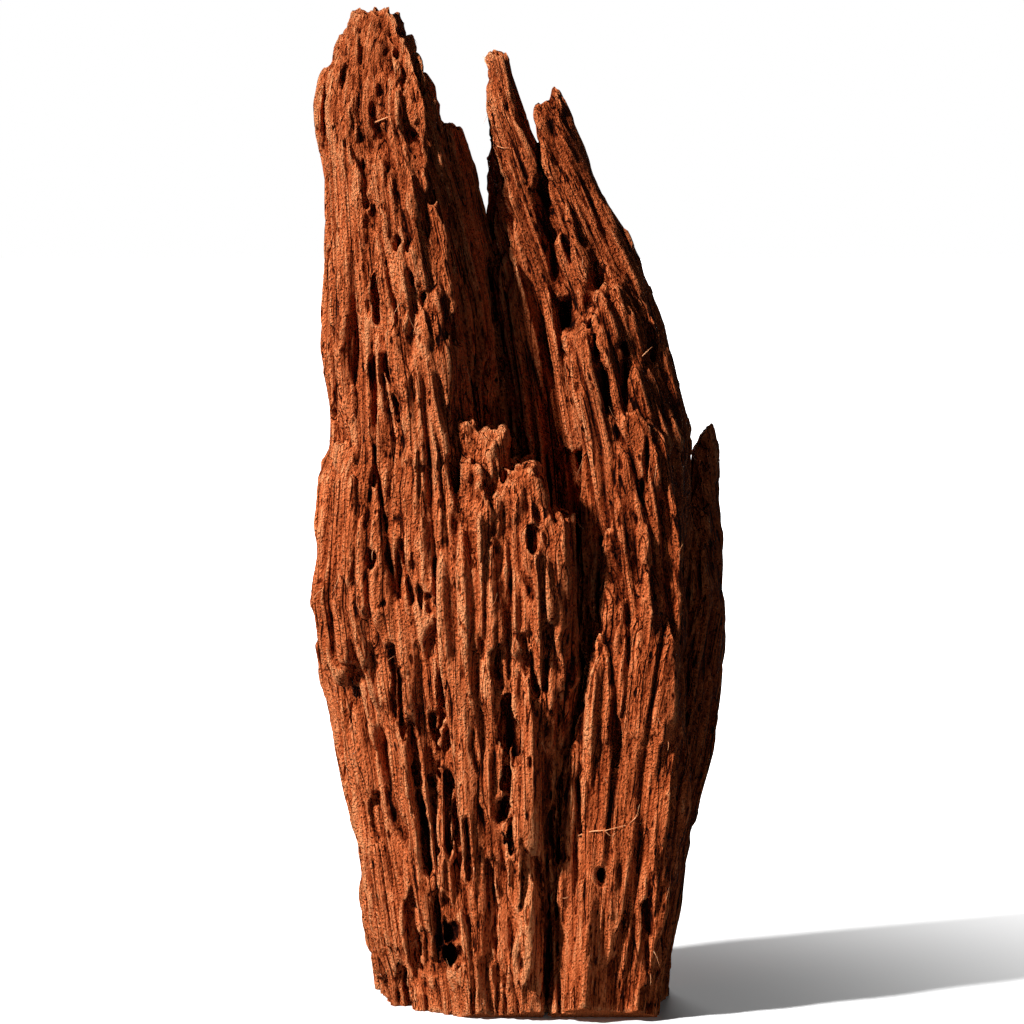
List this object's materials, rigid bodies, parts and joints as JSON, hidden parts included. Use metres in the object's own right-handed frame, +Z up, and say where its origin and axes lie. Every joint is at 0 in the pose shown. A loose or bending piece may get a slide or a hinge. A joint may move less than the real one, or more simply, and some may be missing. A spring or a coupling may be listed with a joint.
{
  "type": "driftwood root",
  "caption": "Upright weathered root wood ornament, split into ragged spires along the grain, sawn flat across its foot so that it stands.",
  "frame": {"origin": "on the floor, under the middle of the root's bounding box", "axes": "+Z up along the grain, -Y out of the broad face with the deep valley, +X to that face's right"},
  "size_m": [0.122, 0.074, 0.3],
  "materials": {
    "root_wood": "dry, matt, deeply fibrous red-brown root wood with dark splits"
  },
  "bodies": {
    "root": {"driftwood_root": "root_wood"}
  },
  "joints": []
}
